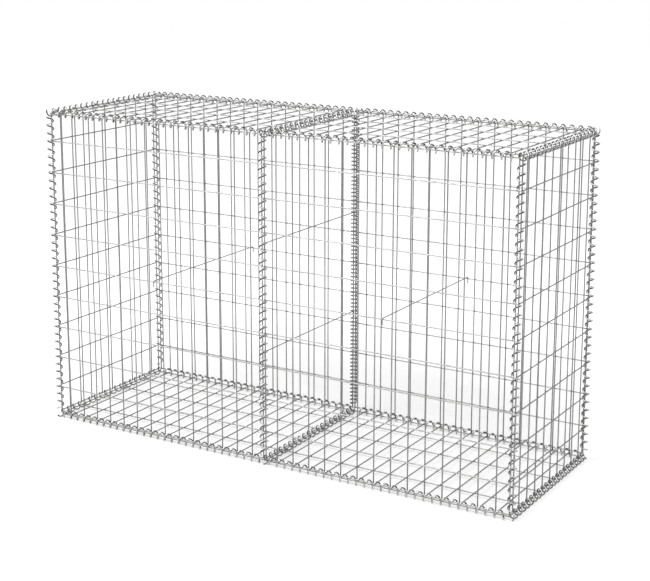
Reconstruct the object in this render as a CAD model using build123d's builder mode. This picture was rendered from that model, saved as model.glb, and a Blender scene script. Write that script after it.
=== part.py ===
from build123d import *
import os
from math import ceil, cos, floor, hypot, pi, radians, sin, sqrt

# Main sizes, from the axis of one edge spiral to the next
bay_length = 734.0
depth = 489.0
height = 910.0

# Welded mesh: close wires inside, wide wires welded across their outer side
panel_wire = 3.5
panel_wire_sides = 8
close_pitch = 50.0
row_pitch = 92.6
run_pitch = 100.0

# Lacing spirals
spiral_wire = 4.0
spiral_radius = 11.0
middle_spiral_radius = 8.0
seat_clearance = 0.05
corner_clearance = 0.5
turns_per_close_gap = 2
turns_per_row = 4
middle_turn_ratio = 2
first_turn_share = 3 / 8

# Winding of the spirals, 1 for right-handed and -1 for left-handed
level_hand = -1
left_upright_hand = 1
right_upright_hand = -1
middle_hand = 1

# Cross ties
tie_wire = 3.0
tie_hook_drop = 18.0
middle_tie_height_shares = (1 / 3, 2 / 3)

os.makedirs("parts", exist_ok=True)


def oval(radius, pitch):
    """Half widths of a spiral seen along its axis: toward the joints of its half turns, and across."""
    return sqrt(radius**2 - (pitch / 4) ** 2), radius


def edge_seat(toward, across, offset):
    """Setback of an edge wire that bears on the inside of a spiral, offset out of its panel's plane."""
    steps = 720
    ring = [(toward * cos(2 * pi * i / steps), across * sin(2 * pi * i / steps)) for i in range(steps)]
    near, far = 0, toward
    for _ in range(steps // panel_wire_sides):
        trial = (near + far) / 2
        if min(hypot(x - trial, y - offset) for x, y in ring) > edge_gap:
            near = trial
        else:
            far = trial
    return near


# Seats: each edge wire bears on the inside of its spiral
flat_angle = 180 / panel_wire_sides
wire_corner = panel_wire / 2 / cos(radians(flat_angle))
edge_gap = spiral_wire / 2 + wire_corner + seat_clearance
level_turn = close_pitch / turns_per_close_gap
upright_turn = row_pitch / turns_per_row
level_joint, level_side = oval(spiral_radius, level_turn)
upright_joint, upright_side = oval(spiral_radius, upright_turn)
front_end_setback = edge_seat(upright_joint, upright_side, 0)
end_front_setback = edge_seat(upright_side, upright_joint, 0)
upright_rim_setback = edge_seat(level_side, level_joint, panel_wire)
floor_rim_setback = edge_seat(level_joint, level_side, panel_wire)
floor_end_setback = edge_seat(level_joint, level_side, 0)
middle_setback = edge_seat(middle_spiral_radius, middle_spiral_radius, 0)

# Centres and half sizes of the panels
half_depth = depth / 2
lowest = spiral_radius + spiral_wire / 2
middle_level = lowest + height / 2
wall_half = (bay_length - middle_setback - front_end_setback) / 2
wall_centre = middle_setback + wall_half
floor_half = (bay_length - middle_setback - floor_end_setback) / 2
floor_centre = middle_setback + floor_half
end_half = half_depth - end_front_setback
upright_half = height / 2 - upright_rim_setback
floor_depth_half = half_depth - floor_rim_setback
corner_room = max(spiral_radius, middle_spiral_radius) + spiral_wire + corner_clearance


def spaced(half, pitch):
    """Wire places across a panel: full gaps about the middle and an edge wire at each side."""
    count = floor(2 * half / pitch)
    inner = [(i - (count - 1) / 2) * pitch for i in range(count)]
    return [-half] + inner + [half]


def save(part, name):
    """Name one node and write its file."""
    part.label = name
    export_step(part, f"parts/{name}.step")


def mesh_panel(name, place, half_across, across_pitch, half_up, up_pitch):
    """One welded panel: close wires along the plane's y, wide wires along its x and outside."""
    stub = panel_wire / 2
    rise = half_up + stub
    reach = half_across + stub
    close_start = place.origin - place.y_dir * rise
    wide_start = place.origin + place.z_dir * panel_wire - place.x_dir * reach
    with BuildPart() as panel:
        with BuildSketch(Plane(close_start, x_dir=place.x_dir, z_dir=place.y_dir)):
            with Locations(*[(u, 0) for u in spaced(half_across, across_pitch)]):
                RegularPolygon(stub, panel_wire_sides, major_radius=False, rotation=flat_angle)
        extrude(amount=2 * rise)
        with BuildSketch(Plane(wide_start, x_dir=place.y_dir, z_dir=place.x_dir)):
            with Locations(*[(v, 0) for v in spaced(half_up, up_pitch)]):
                RegularPolygon(stub, panel_wire_sides, major_radius=False, rotation=flat_angle)
        extrude(amount=2 * reach)
    save(panel.part, name)


def half_turn(radius, pitch, side, hand):
    """Half a turn of a spiral: a tilted half ring that rises half a pitch from one side to the other."""
    start = Vector(side * sqrt(radius**2 - (pitch / 4) ** 2), 0, -pitch / 4)
    ring = Plane((0, 0, 0), x_dir=start, z_dir=start.cross(Vector(0, side * hand, 0)))
    with BuildPart() as half:
        with BuildSketch(Plane(start, x_dir=ring.x_dir, z_dir=ring.y_dir)):
            Circle(spiral_wire / 2)
        revolve(axis=Axis(ring.origin, ring.z_dir), revolution_arc=180)
    return half.part


def spiral_run(radius, pitch, run, share, hand):
    """One lacing spiral about the z axis: half turns end to end, facing x at a share of the pitch."""
    step = pitch / 2
    lead = hand * share * pitch
    first = ceil((-run / 2 - lead) / step)
    last = floor((run / 2 - lead) / step)
    halves = {side: half_turn(radius, pitch, side, hand) for side in (1, -1)}
    turns = []
    for joint in range(first, last):
        side = 1 if joint % 2 == 0 else -1
        rise = lead + (joint + 1 / 2) * step
        turns.append(halves[side].moved(Location((0, 0, rise))))
    return turns[0].fuse(*turns[1:])


def lace(name, spiral, centre, joint_side, ring_side):
    """Set a spiral on an edge, its joints toward one panel and its half rings toward the other."""
    along = Vector(joint_side).cross(Vector(ring_side))
    edge = Plane(centre, x_dir=joint_side, z_dir=along)
    save(spiral.moved(edge.location), name)


def tie(name, place_x, level, reach, bend):
    """One cross tie from front to back with both ends bent down."""
    with BuildPart() as rod:
        with BuildLine(Plane((place_x, 0, level), x_dir=(0, 1, 0), z_dir=(1, 0, 0))) as path:
            FilletPolyline(
                (-reach, -tie_hook_drop),
                (-reach, 0),
                (reach, 0),
                (reach, -tie_hook_drop),
                radius=bend,
            )
        with BuildSketch(Plane(path.line @ 0, z_dir=path.line % 0)):
            Circle(tie_wire / 2)
        sweep(path=path.line)
    save(rod.part, name)


# Panels of each bay
for side, word in ((-1, "left"), (1, "right")):
    wall_x = side * wall_centre
    floor_x = side * floor_centre
    front = Plane((wall_x, -half_depth, middle_level), x_dir=(1, 0, 0), z_dir=(0, -1, 0))
    back = Plane((wall_x, half_depth, middle_level), x_dir=(-1, 0, 0), z_dir=(0, 1, 0))
    end = Plane((side * bay_length, 0, middle_level), x_dir=(0, side, 0), z_dir=(side, 0, 0))
    base = Plane((floor_x, 0, lowest), x_dir=(1, 0, 0), z_dir=(0, 0, -1))
    cover = Plane((floor_x, 0, lowest + height), x_dir=(1, 0, 0), z_dir=(0, 0, 1))
    mesh_panel(f"front_panel_{word}", front, wall_half, close_pitch, upright_half, row_pitch)
    mesh_panel(f"back_panel_{word}", back, wall_half, close_pitch, upright_half, row_pitch)
    mesh_panel(f"end_panel_{word}", end, end_half, close_pitch, upright_half, row_pitch)
    mesh_panel(f"base_panel_{word}", base, floor_half, close_pitch, floor_depth_half, run_pitch)
    mesh_panel(f"cover_{word}", cover, floor_half, close_pitch, floor_depth_half, run_pitch)

# Spirals of the outer edges
bay_run = 2 * (min(wall_centre, bay_length - wall_centre) - corner_room)
depth_run = 2 * (half_depth - corner_room)
upright_run = 2 * (height / 2 - corner_room)
bay_spiral = spiral_run(spiral_radius, level_turn, bay_run, first_turn_share, level_hand)
depth_spiral = spiral_run(spiral_radius, level_turn, depth_run, first_turn_share, level_hand)
for side, word, hand in ((-1, "left", left_upright_hand), (1, "right", right_upright_hand)):
    upright_spiral = spiral_run(spiral_radius, upright_turn, upright_run, first_turn_share, hand)
    for face, face_word in ((-1, "front"), (1, "back")):
        corner = (side * bay_length, face * half_depth, middle_level)
        lace(f"{face_word}_{word}_upright_spiral", upright_spiral, corner, (-side, 0, 0), (0, -face, 0))
    for rim, rim_word in ((0, "bottom"), (1, "top")):
        level = lowest + rim * height
        inside = (0, 0, 1 - 2 * rim)
        for face, face_word in ((-1, "front"), (1, "back")):
            edge = (side * wall_centre, face * half_depth, level)
            lace(f"{rim_word}_{face_word}_{word}_spiral", bay_spiral, edge, (0, -face, 0), inside)
        edge = (side * bay_length, 0, level)
        lace(f"{rim_word}_end_{word}_spiral", depth_spiral, edge, (-side, 0, 0), inside)

# Close spirals of the middle edges
middle_level_turn = level_turn / middle_turn_ratio
middle_upright_turn = upright_turn / middle_turn_ratio
middle_depth_spiral = spiral_run(middle_spiral_radius, middle_level_turn, depth_run, 0, middle_hand)
middle_upright_spiral = spiral_run(middle_spiral_radius, middle_upright_turn, upright_run, 0, middle_hand)
for face, face_word in ((-1, "front"), (1, "back")):
    edge = (0, face * half_depth, middle_level)
    lace(f"{face_word}_middle_spiral", middle_upright_spiral, edge, (0, -face, 0), (face, 0, 0))
for rim, rim_word in ((0, "bottom"), (1, "top")):
    edge = (0, 0, lowest + rim * height)
    lace(f"{rim_word}_middle_spiral", middle_depth_spiral, edge, (0, 0, 1 - 2 * rim), (1, 0, 0))

# Cross ties of the bays, hooked over the middle row of the front and back panels
rows = spaced(upright_half, row_pitch)
columns = spaced(wall_half, close_pitch)
seat = wire_corner + tie_wire / 2 + seat_clearance
tie_row = middle_level + rows[len(rows) // 2]
half_index = len(columns) // 2
tie_column = (columns[half_index - 1] + columns[half_index]) / 2
for side, word in ((-1, "left"), (1, "right")):
    tie(f"{word}_bay_tie", side * wall_centre + tie_column, tie_row + seat, half_depth + panel_wire + seat, seat)

# Cross ties of the middle, hooked over turns of the middle spirals
hook = (spiral_wire + tie_wire) / 2 + seat_clearance
inner_turn = oval(middle_spiral_radius, middle_upright_turn)[0]
for share, word in zip(middle_tie_height_shares, ("lower", "upper")):
    turns_up = round((share * height - height / 2) / middle_upright_turn)
    turn_level = middle_level + turns_up * middle_upright_turn
    tie(f"{word}_middle_tie", 0, turn_level + hook, half_depth - inner_turn + hook, hook)
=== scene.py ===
from math import ceil, cos, floor, pi, radians, sin, sqrt

import bpy
import numpy as np
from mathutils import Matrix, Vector


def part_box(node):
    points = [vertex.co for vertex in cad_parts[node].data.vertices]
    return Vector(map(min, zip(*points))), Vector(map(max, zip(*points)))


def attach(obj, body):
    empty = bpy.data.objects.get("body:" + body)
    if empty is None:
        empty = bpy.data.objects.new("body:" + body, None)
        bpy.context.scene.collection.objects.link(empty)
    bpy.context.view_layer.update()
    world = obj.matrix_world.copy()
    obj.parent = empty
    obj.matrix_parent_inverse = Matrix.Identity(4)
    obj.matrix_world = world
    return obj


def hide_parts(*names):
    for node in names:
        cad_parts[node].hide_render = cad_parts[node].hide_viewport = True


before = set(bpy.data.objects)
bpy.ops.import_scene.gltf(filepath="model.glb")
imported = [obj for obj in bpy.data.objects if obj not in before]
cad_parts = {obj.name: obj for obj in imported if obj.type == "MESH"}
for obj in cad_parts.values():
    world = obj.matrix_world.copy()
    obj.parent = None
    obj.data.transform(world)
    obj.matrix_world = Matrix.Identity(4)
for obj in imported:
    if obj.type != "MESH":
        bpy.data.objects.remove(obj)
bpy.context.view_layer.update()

scene = bpy.context.scene
scene.view_settings.view_transform = "Standard"
chance = np.random.default_rng(7)

# Sizes in metres, as in the CAD model
panel_wire = 0.0035
close_pitch = 0.050
row_pitch = 0.0926
run_pitch = 0.100
spiral_wire = 0.004
spiral_radius = 0.011
level_turn = close_pitch / 2
upright_turn = row_pitch / 4
first_turn_share = 3 / 8
corner_room = 0.0155
tie_wire = 0.003
left_handed, right_handed = -1, 1

# Where the photograph differs from the CAD model: the cover and the spirals on its edges hang a little lower,
# the front middle spiral sits to the left, and the spirals along the depth run into the corners
cover_drop = 0.002
spiral_drop = 0.003
middle_drop = 0.005
middle_slip = 0.0025
corner_turn = 0.006
drawn_radius = 0.0104

# Hooks of the ties
bay_tie_bend = 0.0034
middle_tie_bend = 0.003
bend_steps = 8
tie_points = 15
tie_margin = 0.02

# Fineness of the meshes
wire_sides = 10
spiral_sides = 8
steps_per_turn = 26
bow_points = 13
bead_sides = 8
bead_rings = 3

# Small irregularities: the bow in metres, the cut ends and weld beads as shares of the wire's radius
bow_size = 0.00022
end_ease = 0.35
end_width = 0.72
bead_spread = (1.0, 1.16)
bead_depth = 0.62

# Material numbers of a panel's faces
close_kind, weld_kind, long_highlight_kind = 0, 1, 2

# Camera: fitted to the places of the mesh wires in the photograph
image_width = 650
focal_pixels = 1459.4
sensor_width = 36
yaw = radians(-31.550)
pitch = radians(-11.729)
camera_data = bpy.data.cameras.new("camera")
camera_data.sensor_fit = "HORIZONTAL"
camera_data.sensor_width = sensor_width
camera_data.lens = sensor_width * focal_pixels / image_width
camera_data.shift_x = 0.020
camera_data.shift_y = -0.120
camera = bpy.data.objects.new("camera", camera_data)
scene.collection.objects.link(camera)
camera.location = (2.0921, -3.4046, 1.4930)
look = Vector((sin(yaw) * cos(pitch), cos(yaw) * cos(pitch), sin(pitch)))
camera.rotation_mode = "QUATERNION"
camera.rotation_quaternion = look.to_track_quat("-Z", "Y")
scene.camera = camera


# Mesh building
class Mesh:
    """Gathers points and faces of one piece, with a material number for each face."""

    def __init__(self):
        self.points = []
        self.faces = []
        self.kinds = []
        self.coil_shading_sides = []
        self.count = 0

    def add(self, points, faces, kind):
        self.points.append(points)
        self.faces.extend([tuple(i + self.count for i in face) for face in faces])
        self.kinds.extend([kind] * len(faces))
        self.count += len(points)

    def wire(self, path, across, radius, sides, kind=close_kind, inward=None):
        """A round wire along a path, its cut ends slightly rounded off. A coil also marks how each point faces
        its axis, for its painted shade and painted highlight.
        """
        path = np.asarray(path, float)
        along = np.gradient(path, axis=0)
        along /= np.linalg.norm(along, axis=1, keepdims=True)
        across = np.asarray(across, float)
        across = across - along * (across * along).sum(1, keepdims=True)
        across /= np.linalg.norm(across, axis=1, keepdims=True)
        other = np.cross(along, across)
        ease = end_ease * radius
        first, last = path[0] + along[0] * ease, path[-1] - along[-1] * ease
        centres = np.vstack([path[:1], first, path[1:-1], last, path[-1:]])
        rows = [0, 0, *range(1, len(path) - 1), len(path) - 1, len(path) - 1]
        widths = np.full(len(centres), radius)
        widths[[0, -1]] = end_width * radius
        turn = 2 * pi * np.arange(sides)[:, None] / sides
        ring = np.cos(turn) * across[rows][:, None] + np.sin(turn) * other[rows][:, None]
        points = (centres[:, None] + ring * widths[:, None, None]).reshape(-1, 3)
        # How each ring point faces the coil's axis, which sets its painted shade inside and painted highlight
        # outside
        if inward is not None:
            self.coil_shading_sides.extend((ring * inward[rows][:, None]).sum(2).ravel())
        faces = []
        for i in range(len(centres) - 1):
            for j in range(sides):
                k = (j + 1) % sides
                faces.append((i * sides + j, i * sides + k, (i + 1) * sides + k, (i + 1) * sides + j))
        end = (len(centres) - 1) * sides
        faces.append(tuple(reversed(range(sides))))
        faces.append(tuple(end + j for j in range(sides)))
        self.add(points, faces, kind)

    def bead(self, centre, axes):
        """A small squeezed-out bead of weld metal with three half axes."""
        points = [axes[2]]
        for i in range(1, bead_rings + 1):
            tip = pi * i / (bead_rings + 1)
            for j in range(bead_sides):
                turn = 2 * pi * j / bead_sides
                points.append(sin(tip) * (cos(turn) * axes[0] + sin(turn) * axes[1]) + cos(tip) * axes[2])
        points.append(-axes[2])
        faces = []
        last_ring = 1 + (bead_rings - 1) * bead_sides
        bottom = last_ring + bead_sides
        for j in range(bead_sides):
            k = (j + 1) % bead_sides
            faces.append((0, 1 + j, 1 + k))
            for i in range(bead_rings - 1):
                a, b = 1 + i * bead_sides, 1 + (i + 1) * bead_sides
                faces.append((a + j, b + j, b + k, a + k))
            faces.append((last_ring + j, bottom, last_ring + k))
        self.add(np.asarray(points) + centre, faces, weld_kind)

    def piece(self, name, node, materials):
        """Makes the object, hangs it under the root body and hides its CAD node."""
        mesh = bpy.data.meshes.new(name)
        mesh.from_pydata(np.vstack(self.points).tolist(), [], self.faces)
        mesh.polygons.foreach_set("use_smooth", [True] * len(self.faces))
        mesh.polygons.foreach_set("material_index", self.kinds)
        for material in materials:
            mesh.materials.append(material)
        # The side values that drive the coil's painted shade and painted highlight
        if self.coil_shading_sides:
            mesh.attributes.new("coil_shading_side", "FLOAT", "POINT").data.foreach_set("value", self.coil_shading_sides)
        mesh.update()
        obj = bpy.data.objects.new(name, mesh)
        scene.collection.objects.link(obj)
        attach(obj, "root")
        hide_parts(node)


# Shader nodes
def add_node(tree, kind, **inputs):
    """A new node with its inputs set or linked. An underscore in a name stands for a space."""
    made = tree.nodes.new(kind)
    for key, value in inputs.items():
        socket = made.inputs[key.replace("_", " ")]
        if isinstance(value, bpy.types.NodeSocket):
            tree.links.new(value, socket)
        else:
            socket.default_value = value
    return made


def remap(tree, value, low, high, to_low, to_high):
    """A value moved from one range to another."""
    ends = {"From_Min": low, "From_Max": high, "To_Min": to_low, "To_Max": to_high}
    return add_node(tree, "ShaderNodeMapRange", Value=value, **ends).outputs["Result"]


def combine(tree, operation, a, b):
    """Two values joined by an operation."""
    made = tree.nodes.new("ShaderNodeMath")
    made.operation = operation
    tree.links.new(a, made.inputs[0])
    tree.links.new(b, made.inputs[1])
    return made.outputs["Value"]


# Zinc: shares of its tone and relief, and the noise values and tones that they run between
cloud_scale = 38.0
noise_low, noise_high = 0.3, 0.7
cloud_share = 0.5
crystal_share = 0.25
own_share = 0.25
# The coil's painted shade inside and painted highlight outside: their share of the tone, and the side value at
# which they are full
coil_shading_share = 0.45
coil_shading_reach = 0.7
dull_tone, bright_tone = 0.1, 0.9
grain_roughness = 0.08
grain_relief = 0.6
crystal_relief = 0.4
relief_strength = 0.25
relief_depth = 0.0003


def galvanised(name, dull, bright, rough, spangle, grain, coil_shading=False):
    """Zinc-coated wire: crystal spangle, cloudy oxide, fine drawn grain and a tone of its own for each wire.

    A coil gets painted shade on its inner side and a painted highlight on its outer side.
    """
    material = bpy.data.materials.new(name)
    material.use_nodes = True
    tree = material.node_tree
    shader = tree.nodes["Principled BSDF"]
    shader.inputs["Metallic"].default_value = 1.0
    place = tree.nodes.new("ShaderNodeTexCoord").outputs["Object"]
    clouds = add_node(tree, "ShaderNodeTexNoise", Vector=place, Scale=cloud_scale, Detail=5.0, Roughness=0.6)
    cloud = clouds.outputs["Fac"]
    crystals = add_node(tree, "ShaderNodeTexVoronoi", Vector=place, Scale=spangle)
    crystal = add_node(tree, "ShaderNodeSeparateColor", Color=crystals.outputs["Color"]).outputs["Red"]
    grains = add_node(tree, "ShaderNodeTexNoise", Vector=place, Scale=grain, Detail=3.0, Roughness=0.7)
    fine = grains.outputs["Fac"]
    own = tree.nodes.new("ShaderNodeNewGeometry").outputs["Random Per Island"]

    tone = remap(tree, cloud, noise_low, noise_high, 0.0, cloud_share)
    tone = combine(tree, "ADD", tone, remap(tree, crystal, 0.0, 1.0, 0.0, crystal_share))
    tone = combine(tree, "ADD", tone, remap(tree, own, 0.0, 1.0, 0.0, own_share))
    if coil_shading:
        # Painted shade on the coil's inner side, painted highlight on its outer side
        side = tree.nodes.new("ShaderNodeAttribute")
        side.attribute_name = "coil_shading_side"
        painted_shade_and_highlight = remap(tree, side.outputs["Fac"], -coil_shading_reach, coil_shading_reach, coil_shading_share, -coil_shading_share)
        tone = combine(tree, "ADD", tone, painted_shade_and_highlight)
    ramp = add_node(tree, "ShaderNodeValToRGB", Fac=tone)
    for element, position, colour in zip(ramp.color_ramp.elements, (dull_tone, bright_tone), (dull, bright)):
        element.position = position
        element.color = (*colour, 1)
    tree.links.new(ramp.outputs["Color"], shader.inputs["Base Color"])

    smooth, coarse = rough
    cloud_rough = remap(tree, cloud, noise_low, noise_high, coarse, smooth)
    fine_rough = remap(tree, fine, noise_low, noise_high, 0.0, grain_roughness)
    tree.links.new(combine(tree, "ADD", cloud_rough, fine_rough), shader.inputs["Roughness"])

    fine_height = remap(tree, fine, 0.0, 1.0, 0.0, grain_relief)
    crystal_height = remap(tree, crystal, 0.0, 1.0, 0.0, crystal_relief)
    height = combine(tree, "ADD", fine_height, crystal_height)
    relief = add_node(tree, "ShaderNodeBump", Height=height, Strength=relief_strength, Distance=relief_depth)
    tree.links.new(relief.outputs["Normal"], shader.inputs["Normal"])
    return material


mesh_zinc = galvanised(
    "galvanised_mesh_wire",
    dull=(0.17, 0.17, 0.167),
    bright=(0.305, 0.307, 0.303),
    rough=(0.30, 0.44),
    spangle=240.0,
    grain=1400.0,
)
# Zinc for the wires along the basket's length: a lighter copy of the mesh zinc, a painted highlight
long_highlight_zinc = galvanised(
    "galvanised_long_wire_painted_highlight",
    dull=(0.27, 0.27, 0.267),
    bright=(0.44, 0.442, 0.438),
    rough=(0.28, 0.40),
    spangle=240.0,
    grain=1400.0,
)
# Spiral zinc: its dark end is the painted shade inside each coil, its bright end the painted highlight outside
spiral_zinc = galvanised(
    "galvanised_spiral_wire",
    dull=(0.045, 0.045, 0.044),
    bright=(0.45, 0.45, 0.446),
    rough=(0.18, 0.30),
    spangle=300.0,
    grain=1600.0,
    coil_shading=True,
)
# A darker copy of the spiral zinc, painted shade, for the close back middle spiral
shaded_zinc = galvanised(
    "galvanised_close_spiral_painted_shade",
    dull=(0.03, 0.03, 0.029),
    bright=(0.20, 0.20, 0.197),
    rough=(0.22, 0.34),
    spangle=300.0,
    grain=1600.0,
    coil_shading=True,
)
tie_zinc = galvanised(
    "galvanised_tie_wire",
    dull=(0.17, 0.17, 0.168),
    bright=(0.30, 0.30, 0.297),
    rough=(0.30, 0.44),
    spangle=280.0,
    grain=1600.0,
)
weld_zinc = galvanised(
    "burnt_weld_zinc",
    dull=(0.08, 0.078, 0.075),
    bright=(0.17, 0.167, 0.163),
    rough=(0.45, 0.62),
    spangle=700.0,
    grain=2200.0,
)


# Welded panels
def spaced(half, gap):
    """Wire places across a panel: full gaps about the middle and an edge wire at each side."""
    slack = 1e-6
    count = floor(2 * half / gap + slack)
    inner = [(i - (count - 1) / 2) * gap for i in range(count)]
    return [-half, *inner, half]


def bowed(start, end, sideways):
    """A drawn wire: straight but for a slight bow of its own."""
    steps = np.linspace(0, 1, bow_points)[:, None]
    bow, wave = chance.normal(0, bow_size, 2)
    offset = bow * np.sin(pi * steps) + wave * np.sin(2 * pi * steps)
    return start + (end - start) * steps + sideways * offset


def at(path, share):
    """The point at a share of a path of even steps."""
    place = share * (len(path) - 1)
    i = min(int(place), len(path) - 2)
    return path[i] + (path[i + 1] - path[i]) * (place - i)


def panel(node, across, up, out, wide_gap, drop=0):
    """One welded panel: close wires upward, wide wires across their outer side, a weld at each crossing.

    Wide wires that run along the basket's length have a brighter zinc, which is a painted highlight.
    """
    low, high = (np.array(corner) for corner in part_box(node))
    across, up, out = (np.array(v, float) for v in (across, up, out))
    size = high - low
    stub = panel_wire / 2
    half_across = abs(size @ across) / 2 - stub
    half_up = abs(size @ up) / 2 - stub
    reach = half_across + stub
    rise = half_up + stub
    middle = (low + high) / 2 - out * (stub + drop)
    uprights, levels = [], []
    for u in spaced(half_across, close_pitch):
        start = middle + across * u - up * rise
        uprights.append((u, bowed(start, start + up * 2 * rise, across)))
    for v in spaced(half_up, wide_gap):
        start = middle + up * v - across * reach + out * panel_wire
        levels.append((v, bowed(start, start + across * 2 * reach, up)))
    lengthwise = across[0] != 0
    mesh = Mesh()
    for _, path in uprights:
        mesh.wire(path, out, stub, wire_sides)
    for _, path in levels:
        # Wires along the length get the brighter zinc of a painted highlight
        mesh.wire(path, out, stub, wire_sides, long_highlight_kind if lengthwise else close_kind)
    for u, upright in uprights:
        for v, level in levels:
            a = at(upright, (v + rise) / (2 * rise))
            b = at(level, (u + reach) / (2 * reach))
            width = stub * chance.uniform(*bead_spread)
            centre = middle + across * (a @ across - middle @ across)
            centre = centre + up * (b @ up - middle @ up) + out * stub
            mesh.bead(centre, (across * width, up * width, out * stub * bead_depth))
    zincs = (mesh_zinc, weld_zinc, long_highlight_zinc) if lengthwise else (mesh_zinc, weld_zinc)
    mesh.piece(node + "_mesh", node, zincs)


bays = ((-1, "left"), (1, "right"))
for side, word in bays:
    panel(f"front_panel_{word}", (1, 0, 0), (0, 0, 1), (0, -1, 0), row_pitch)
    panel(f"back_panel_{word}", (1, 0, 0), (0, 0, 1), (0, 1, 0), row_pitch)
    panel(f"end_panel_{word}", (0, 1, 0), (0, 0, 1), (side, 0, 0), row_pitch)
    panel(f"base_panel_{word}", (1, 0, 0), (0, 1, 0), (0, 0, -1), run_pitch)
    panel(f"cover_{word}", (1, 0, 0), (0, 1, 0), (0, 0, 1), run_pitch, cover_drop)


# Lacing spirals
def coil_piece(node, centre, along, rise, swing, zinc):
    """One spiral: a wire that rises along its axis and swings round it."""
    mesh = Mesh()
    path = centre + swing + along * rise
    mesh.wire(path, along, spiral_wire / 2, spiral_sides, inward=-swing / drawn_radius)
    mesh.piece(node + "_wire", node, (zinc,))


def spiral(node, centre, joint, ring, turn, hand, start, end):
    """A true helix on nearly the CAD spiral's oval, from start to end along its own axis."""
    joint, ring = np.array(joint, float), np.array(ring, float)
    toward = sqrt(spiral_radius**2 - (turn / 4) ** 2)
    share = hand * first_turn_share
    first, last = start / turn - share, end / turn - share
    steps = ceil((last - first) * steps_per_turn)
    angle = 2 * pi * np.linspace(first, last, steps + 1)[:, None]
    swing = joint * toward * np.cos(angle) + ring * hand * drawn_radius * np.sin(angle)
    rise = turn * (angle / (2 * pi) + share)
    coil_piece(node, centre, np.cross(joint, ring), rise, swing, spiral_zinc)


def middle_spiral(node, centre, inward, ring, turn, hand, reach, zinc=spiral_zinc):
    """A round helix about the edges of both bays, on the outer side of its swing at the middle of its length."""
    inward, ring = np.array(inward, float), np.array(ring, float)
    steps = ceil(2 * reach / turn * steps_per_turn)
    rise = np.linspace(-reach, reach, steps + 1)[:, None]
    angle = hand * 2 * pi * rise / turn + pi
    swing = drawn_radius * (inward * np.cos(angle) + ring * np.sin(angle))
    coil_piece(node, centre, np.cross(inward, ring), rise, swing, zinc)


def box_middle(node):
    """The middle of a CAD node's box."""
    low, high = (np.array(corner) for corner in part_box(node))
    return (low + high) / 2


wall_centre = box_middle("front_panel_right")[0]
bay_length, _, top_level = box_middle("top_end_right_spiral")
bottom_level = box_middle("bottom_end_right_spiral")[2]
half_depth = box_middle("back_right_upright_spiral")[1]
middle_level = (top_level + bottom_level) / 2
ground_level = bottom_level - spiral_radius + drawn_radius
upright_half = (top_level - bottom_level) / 2 - corner_room
depth_half = half_depth + corner_turn
inner_end = wall_centre - corner_room
outer_end = bay_length - wall_centre - corner_room
walls = ((-1, "front"), (1, "back"))
rims = ((0, "bottom"), (1, "top"))

for side, word in bays:
    hand = left_handed if side > 0 else right_handed
    for face, face_word in walls:
        node = f"{face_word}_{word}_upright_spiral"
        centre = np.array((side * bay_length, face * half_depth, middle_level))
        spiral(node, centre, (-side, 0, 0), (0, -face, 0), upright_turn, hand, -upright_half, upright_half)
    for rim, rim_word in rims:
        inside = (0, 0, 1 - 2 * rim)
        level = top_level - spiral_drop if rim else ground_level
        for face, face_word in walls:
            node = f"{rim_word}_{face_word}_{word}_spiral"
            centre = np.array((side * wall_centre, face * half_depth, level))
            outward = side * face * (2 * rim - 1) > 0
            start, end = (-inner_end, outer_end) if outward else (-outer_end, inner_end)
            spiral(node, centre, (0, -face, 0), inside, level_turn, left_handed, start, end)
        node = f"{rim_word}_end_{word}_spiral"
        centre = np.array((side * bay_length, 0, level))
        spiral(node, centre, (-side, 0, 0), inside, level_turn, left_handed, -depth_half, depth_half)

node = "front_middle_spiral"
centre = np.array((-middle_slip, -half_depth, middle_level))
middle_spiral(node, centre, (0, 1, 0), (-1, 0, 0), upright_turn, left_handed, upright_half)
node = "back_middle_spiral"
centre = np.array((0, half_depth, middle_level))
close_turn = upright_turn / 2
# This spiral's darker zinc is painted shade
middle_spiral(node, centre, (0, -1, 0), (1, 0, 0), close_turn, right_handed, upright_half, shaded_zinc)
for rim, rim_word in rims:
    node = f"{rim_word}_middle_spiral"
    centre = np.array((0, 0, top_level - middle_drop if rim else ground_level))
    middle_spiral(node, centre, (0, 0, 1 - 2 * rim), (1, 0, 0), level_turn, left_handed, depth_half)


# Cross ties
def tie(node, bend):
    """A straight tie with both ends bent down into hooks."""
    low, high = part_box(node)
    x = (low.x + high.x) / 2
    level = high.z - tie_wire / 2
    reach = high.y - tie_wire / 2
    hook = [(-reach, low.z), (-reach, (low.z + level) / 2)]
    for i in range(bend_steps + 1):
        turn = pi / 2 * i / bend_steps
        hook.append((-reach + bend * (1 - cos(turn)), level - bend * (1 - sin(turn))))
    straight = [(y, level) for y in np.linspace(-reach + tie_margin, reach - tie_margin, tie_points)]
    other_hook = [(-y, z) for y, z in reversed(hook)]
    mesh = Mesh()
    mesh.wire([(x, y, z) for y, z in hook + straight + other_hook], (1, 0, 0), tie_wire / 2, wire_sides)
    mesh.piece(node + "_wire", node, (tie_zinc,))


for name in ("left_bay_tie", "right_bay_tie"):
    tie(name, bay_tie_bend)
for name in ("lower_middle_tie", "upper_middle_tie"):
    tie(name, middle_tie_bend)

# Stage: a pale floor that keeps the shadow near the object and runs out to white
floor_radius = 12
floor_sides = 96
floor_grey = 0.62
glow_near, glow_far = 0.5, 1.6
glow_low, glow_high = 0.44, 0.80


def seen_rays(tree):
    """The ray kinds of a shader, and a value of one for rays that reach the camera straight or by a mirror."""
    path = tree.nodes.new("ShaderNodeLightPath")
    return path, combine(tree, "MAXIMUM", path.outputs["Is Camera Ray"], path.outputs["Is Glossy Ray"])


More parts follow.
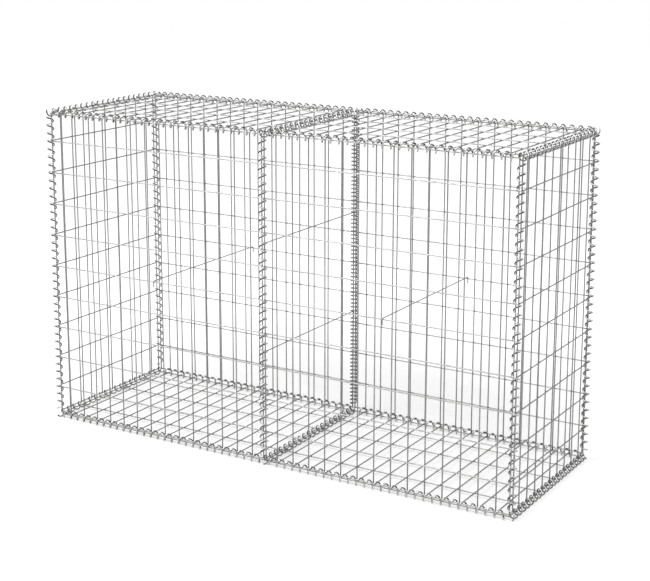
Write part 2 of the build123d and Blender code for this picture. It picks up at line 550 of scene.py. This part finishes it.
def floor_material():
    """Matt grey with a glow that grows away from the object and lights nothing."""
    material = bpy.data.materials.new("pale_floor")
    material.use_nodes = True
    tree = material.node_tree
    tree.nodes.remove(tree.nodes["Principled BSDF"])
    matt = add_node(tree, "ShaderNodeBsdfDiffuse", Color=(floor_grey, floor_grey, floor_grey, 1))
    place = tree.nodes.new("ShaderNodeTexCoord")
    far = tree.nodes.new("ShaderNodeVectorMath")
    far.operation = "LENGTH"
    tree.links.new(place.outputs["Object"], far.inputs[0])
    fade = remap(tree, far.outputs["Value"], glow_near, glow_far, glow_low, glow_high)
    fade.node.interpolation_type = "SMOOTHSTEP"
    _, seen = seen_rays(tree)
    glow = add_node(tree, "ShaderNodeEmission", Strength=combine(tree, "MULTIPLY", seen, fade))
    both = tree.nodes.new("ShaderNodeAddShader")
    tree.links.new(matt.outputs["BSDF"], both.inputs[0])
    tree.links.new(glow.outputs["Emission"], both.inputs[1])
    tree.links.new(both.outputs["Shader"], tree.nodes["Material Output"].inputs["Surface"])
    return material


ground = bpy.data.meshes.new("floor")
angles = [2 * pi * i / floor_sides for i in range(floor_sides)]
outline = [(floor_radius * cos(angle), floor_radius * sin(angle), 0) for angle in angles]
ground.from_pydata(outline, [], [tuple(range(floor_sides))])
ground.materials.append(floor_material())
floor_object = bpy.data.objects.new("floor", ground)
scene.collection.objects.link(floor_object)

# World: white where it is seen or mirrored, softer as light
world_light = 0.35
world_seen = 1.0
world = bpy.data.worlds.new("studio")
scene.world = world
world.use_nodes = True
tree = world.node_tree
background = tree.nodes["Background"]
background.inputs["Color"].default_value = (1, 1, 1, 1)
path, seen = seen_rays(tree)
shown = combine(tree, "MAXIMUM", seen, path.outputs["Is Transmission Ray"])
tree.links.new(remap(tree, shown, 0.0, 1.0, world_light, world_seen), background.inputs["Strength"])


def softbox(name, place, aim, width, depth, power):
    """A rectangular lamp aimed at a point."""
    data = bpy.data.lights.new(name, "AREA")
    data.shape = "RECTANGLE"
    data.size = width
    data.size_y = depth
    data.energy = power
    lamp = bpy.data.objects.new(name, data)
    scene.collection.objects.link(lamp)
    lamp.location = place
    lamp.rotation_mode = "QUATERNION"
    lamp.rotation_quaternion = (Vector(aim) - Vector(place)).to_track_quat("-Z", "Y")


softbox("key_softbox", (-1.3, -1.5, 3.3), aim=(-1.3, 0.1, 0.5), width=3.2, depth=1.6, power=105)
softbox("fill_softbox", (2.7, -2.3, 4.2), aim=(0.2, -0.1, 0.5), width=2.0, depth=1.4, power=100)
